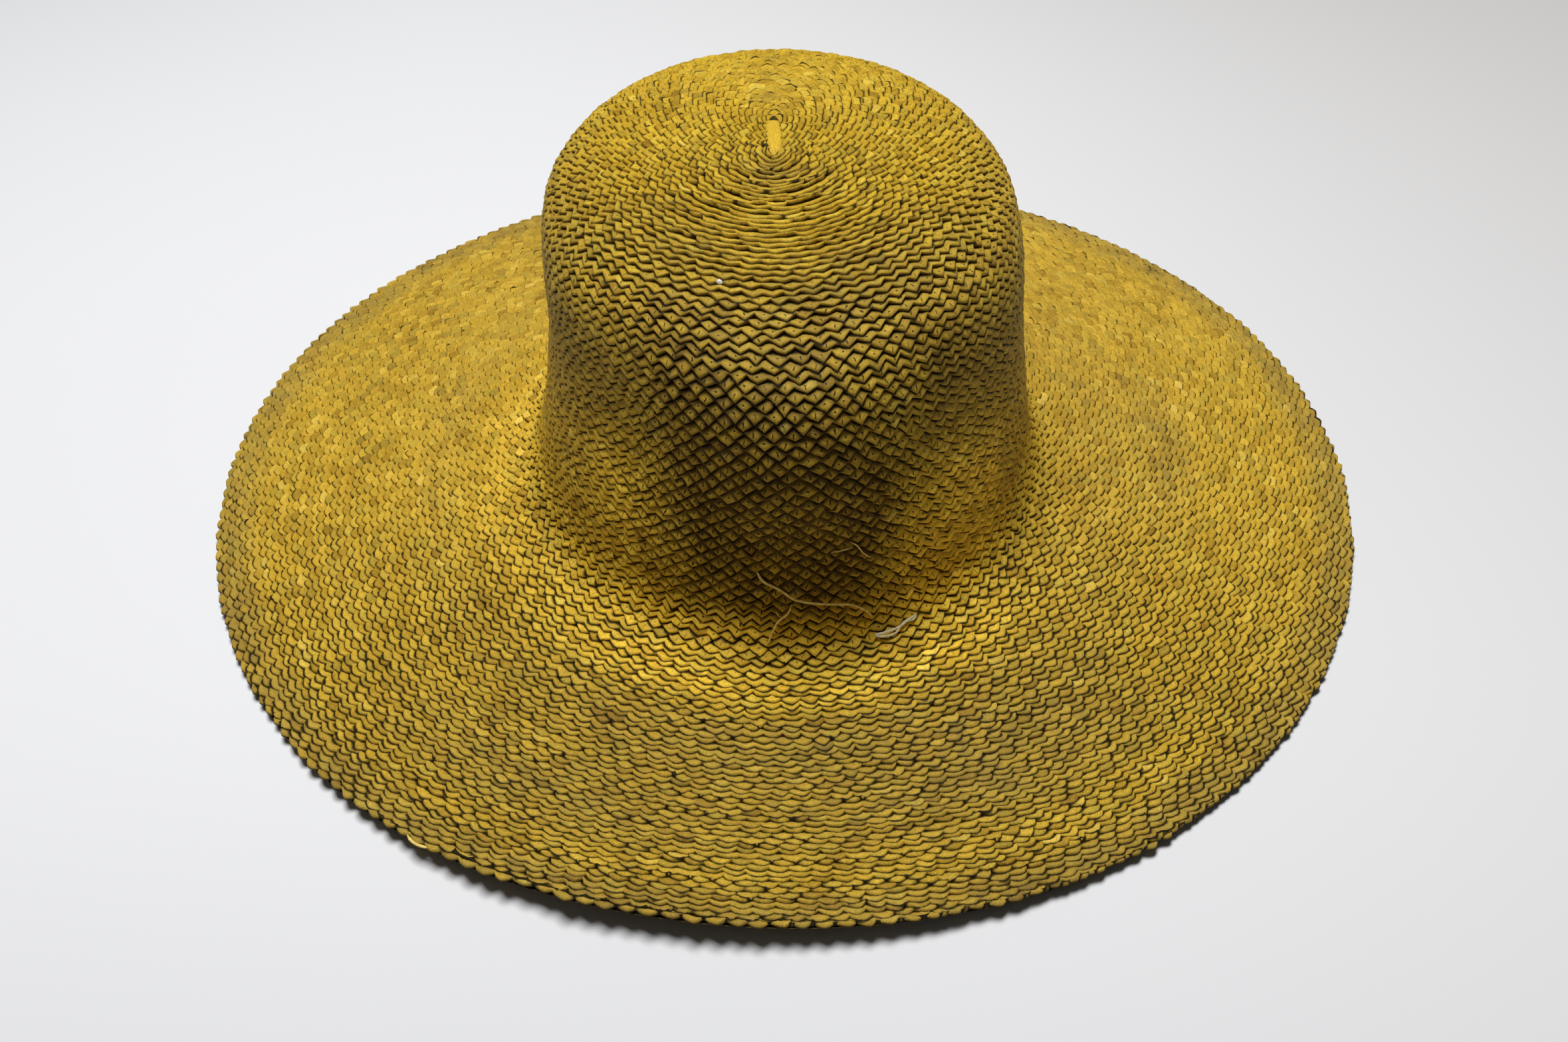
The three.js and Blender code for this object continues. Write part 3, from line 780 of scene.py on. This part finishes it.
def tubes(name, strands, sides=6):
    """One mesh of thin round strands; strands is [(points, radius)]."""
    points, quads, flat = [], [], []
    for number, (path, radius) in enumerate(strands):
        n = len(path)
        along = np.gradient(path, axis=0)
        along /= np.linalg.norm(along, axis=1, keepdims=True)
        across = np.cross(along, (0.0, 0.0, 1.0))
        across /= np.maximum(np.linalg.norm(across, axis=1, keepdims=True), 1e-6)
        lift = np.cross(across, along)
        from_end = np.minimum(np.arange(n), np.arange(n)[::-1])
        thick = radius * np.minimum(1.0, 0.35 + 0.65 * from_end / 3.0)
        start = sum(len(q) for q in points)
        steps = np.arange(n - 1)
        for i in range(sides):
            angle = 2 * math.pi * i / sides
            points.append(path + (across * math.cos(angle) + lift * math.sin(angle)) * thick[:, None])
            a, b = start + i * n, start + (i + 1) % sides * n
            quads.append(np.stack([a + steps, b + steps, b + steps + 1, a + steps + 1], 1))
            low, high = ((number + edge / sides) / len(strands) for edge in (i, i + 1))
            corners = ((steps, low), (steps, high), (steps + 1, high), (steps + 1, low))
            places = [np.stack([s / n, np.full(n - 1, v)], 1) for s, v in corners]
            flat.append(np.stack(places, 1).reshape(-1, 2))
    return mesh_piece(name, np.vstack(points), np.vstack(quads), uv_layers={"OFBake": np.vstack(flat)})


def strand(places, radius, lift=1.0, arch=0.0):
    """Strand through (profile place, degrees), lying on the plait and rising by arch at its middle."""
    at = np.array(places, float)
    rise = lift + arch * np.sin(np.linspace(0, math.pi, len(at)))
    return smooth_path(raised(at[:, 0], at[:, 1], rise)), radius


def thread_material(name, colour, streak):
    material, make, _, mix, step, noise = new_material(name)
    fibre = noise(make("ShaderNodeNewGeometry").outputs["Position"], 900.0, 2.0)
    shade = mix(step(fibre, 0.3, 0.7), streak, colour)
    bump = make("ShaderNodeBump", {"Strength": 0.4, "Distance": 0.0001, "Height": fibre})
    surface = make("ShaderNodeBsdfPrincipled", {
        "Base Color": shade, "Roughness": step(fibre, 0.2, 0.8, 0.75, 0.55), "Normal": bump.outputs[0],
        "Specular IOR Level": 0.2})
    make("ShaderNodeOutputMaterial", {0: surface.outputs[0]})
    return material


EDGE = ARC[-1]
LONG_THREAD = (
    (137.6, -96.5), (140.8, -95.0), (143.2, -91.8), (146.2, -89.2), (147.4, -87.2), (148.7, -83.8),
    (149.9, -80.0), (151.4, -77.2), (155.3, -74.2), (158.0, -73.0),
)
FORKED_THREAD = (
    (149.9, -89.2), (152.8, -90.0), (155.5, -91.8), (159.0, -92.8), (162.4, -93.5), (163.6, -94.0),
)
FORK = ((152.6, -92.3), (154.6, -91.4))
SHORT_THREADS = (
    ((130.7, -81.2), (130.2, -79.0), (130.2, -76.5)),
    ((127.8, -77.2), (129.7, -75.8), (133.2, -74.5), (136.1, -72.8)),
    ((163.9, -75.5), (165.6, -76.2), (166.8, -77.0)),
)
LOOPED_THREAD = (
    (162.9, -63.8), (163.6, -64.8), (163.2, -66.2), (163.9, -67.5), (164.1, -69.2), (164.1, -71.5),
    (163.9, -73.0), (165.1, -72.0), (165.9, -70.2), (165.6, -68.8), (164.4, -68.0), (163.2, -66.8),
    (162.8, -65.0), (162.4, -63.8),
)
EDGE_TAG = ((EDGE - 0.9, -121.0), (EDGE + 0.2, -120.3), (EDGE + 0.5, -119.5), (EDGE - 0.2, -118.6))

start_straw = straw_material("start_straw", bright=1.0, olive=0.1, crack=0.0)
finish_piece(stub_piece("plait_start_strip"), start_straw, "start_straw", "plait_start")
straw_strands = [strand(LONG_THREAD, 0.34, 1.1, 1.6), strand(FORKED_THREAD, 0.32, 1.0, 0.8),
                 strand(FORK, 0.25), strand(EDGE_TAG, 0.42, -0.3)]
straw_strands += [strand(places, 0.24, 0.8, 0.4) for places in SHORT_THREADS]
thread_straw = thread_material("thread_straw", (0.95, 0.72, 0.22), (0.70, 0.48, 0.10))
finish_piece(tubes("loose_threads", straw_strands), thread_straw, "side_straw")
thread_pale = thread_material("thread_pale", (0.95, 0.90, 0.62), (0.72, 0.64, 0.36))
finish_piece(tubes("looped_thread", [strand(LOOPED_THREAD, 0.36, 1.2, 0.6)]), thread_pale, "side_straw")


def speck_piece(name, u, deg, size):
    """Small rough fleck stuck to the plait."""
    rings, sides, top = 4, 14, 1.1
    angle = np.arange(sides) * 2 * math.pi / sides
    wobble = 1 + 0.3 * rng.random(sides)
    points = [raised(np.array([u]), np.array([deg]), np.array([top]))]
    for ring in range(1, rings + 1):
        reach = size * wobble * ring / rings
        height = top - 0.8 * (ring / rings) ** 2 + 0.1 * rng.random(sides)
        points.append(raised(u + 0.6 * reach * np.sin(angle), deg + reach * np.cos(angle) / 1.3, height))
    triangles = [(0, 1 + (i + 1) % sides, 1 + i) for i in range(sides)]
    for ring in range(1, rings):
        a, b = 1 + (ring - 1) * sides, 1 + ring * sides
        for i in range(sides):
            j = (i + 1) % sides
            triangles += [(a + i, a + j, b + j), (a + i, b + j, b + i)]
    return mesh_piece(name, np.vstack(points), np.array(triangles))


speck_white = thread_material("speck_white", (0.95, 0.95, 0.90), (0.75, 0.74, 0.64))
finish_piece(speck_piece("white_speck", 59.5, -104.2, 0.9), speck_white, "tip_straw")

# Floor, light and camera
FLOOR_HALF, FLOOR_Z = 4000.0, -0.15
FLOOR_DULL, FLOOR_PALE = (0.74, 0.745, 0.76), (0.77, 0.775, 0.79)
FLOOR_FRONT_SHADE, FLOOR_RIGHT_SHADE = (0.60, 0.60, 0.615), (0.64, 0.63, 0.625)


def floor_material():
    """White table, with painted shade making it a little greyer towards the front and the right."""
    material, make, maths, mix, step, noise = new_material("white_table")
    here = make("ShaderNodeNewGeometry").outputs["Position"]
    x, y, _ = make("ShaderNodeSeparateXYZ", {0: here}).outputs
    colour = mix(noise(here, 3.0, 3.0), FLOOR_DULL, FLOOR_PALE)
    colour = mix(step(y, -0.08, -0.42), colour, FLOOR_FRONT_SHADE)
    across = maths("MULTIPLY_ADD", y, 0.35, x)
    colour = mix(step(across, -0.1, 0.55), colour, FLOOR_RIGHT_SHADE)
    surface = make("ShaderNodeBsdfPrincipled", {
        "Base Color": colour, "Roughness": 0.9, "Specular IOR Level": 0.1})
    make("ShaderNodeOutputMaterial", {0: surface.outputs[0]})
    return material


floor_corners = ((-1, -1), (1, -1), (1, 1), (-1, 1))
floor_points = np.array([(x * FLOOR_HALF, y * FLOOR_HALF, FLOOR_Z) for x, y in floor_corners])
floor = mesh_piece("floor", floor_points, np.array([[0, 1, 2, 3]]))
floor.data.materials.append(floor_material())

PANEL_PLACE, PANEL_TARGET = Vector((-0.1, 0.08, 1.6)), Vector((-0.02, 0.02, 0.0))
panel_data = bpy.data.lights.new("sky_panel", "AREA")
panel_data.shape = "RECTANGLE"
panel_data.size, panel_data.size_y = 0.8, 0.5
panel_data.energy = 30.0
panel = bpy.data.objects.new("sky_panel", panel_data)
panel.location = PANEL_PLACE
panel.rotation_euler = (PANEL_TARGET - PANEL_PLACE).to_track_quat("-Z", "Y").to_euler()
bpy.context.scene.collection.objects.link(panel)

world = bpy.data.worlds.new("room")
world.use_nodes = True
room = world.node_tree.nodes["Background"]
room.inputs["Color"].default_value = (1.0, 0.98, 0.95, 1.0)
room.inputs["Strength"].default_value = 0.06
bpy.context.scene.world = world

CAMERA_UP_DEG, CAMERA_AWAY, CAMERA_ROLL = 40.4583, 458.15, math.radians(0.475)
CAMERA_TARGET = Vector((-0.179, -41.75, 2.0))
LENS, SENSOR = 32.247, 36.0
up_angle = math.radians(CAMERA_UP_DEG)
back = Vector((0.0, -math.cos(up_angle), math.sin(up_angle)))
right = Vector((1.0, 0.0, 0.0))
up = back.cross(right)
right_rolled = right * math.cos(CAMERA_ROLL) - up * math.sin(CAMERA_ROLL)
up_rolled = right * math.sin(CAMERA_ROLL) + up * math.cos(CAMERA_ROLL)
lens = bpy.data.cameras.new("camera")
lens.lens, lens.sensor_width, lens.sensor_fit = LENS, SENSOR, "HORIZONTAL"
lens.clip_start, lens.clip_end = 0.01, 50.0
camera = bpy.data.objects.new("camera", lens)
turned = Matrix((right_rolled, up_rolled, back)).transposed().to_4x4()
camera.matrix_world = Matrix.Translation((CAMERA_TARGET + back * CAMERA_AWAY) * MM) @ turned
bpy.context.scene.collection.objects.link(camera)
bpy.context.scene.camera = camera

settings = bpy.context.scene.view_settings
settings.view_transform, settings.look = "Standard", "None"
settings.exposure, settings.gamma = 0.0, 1.0
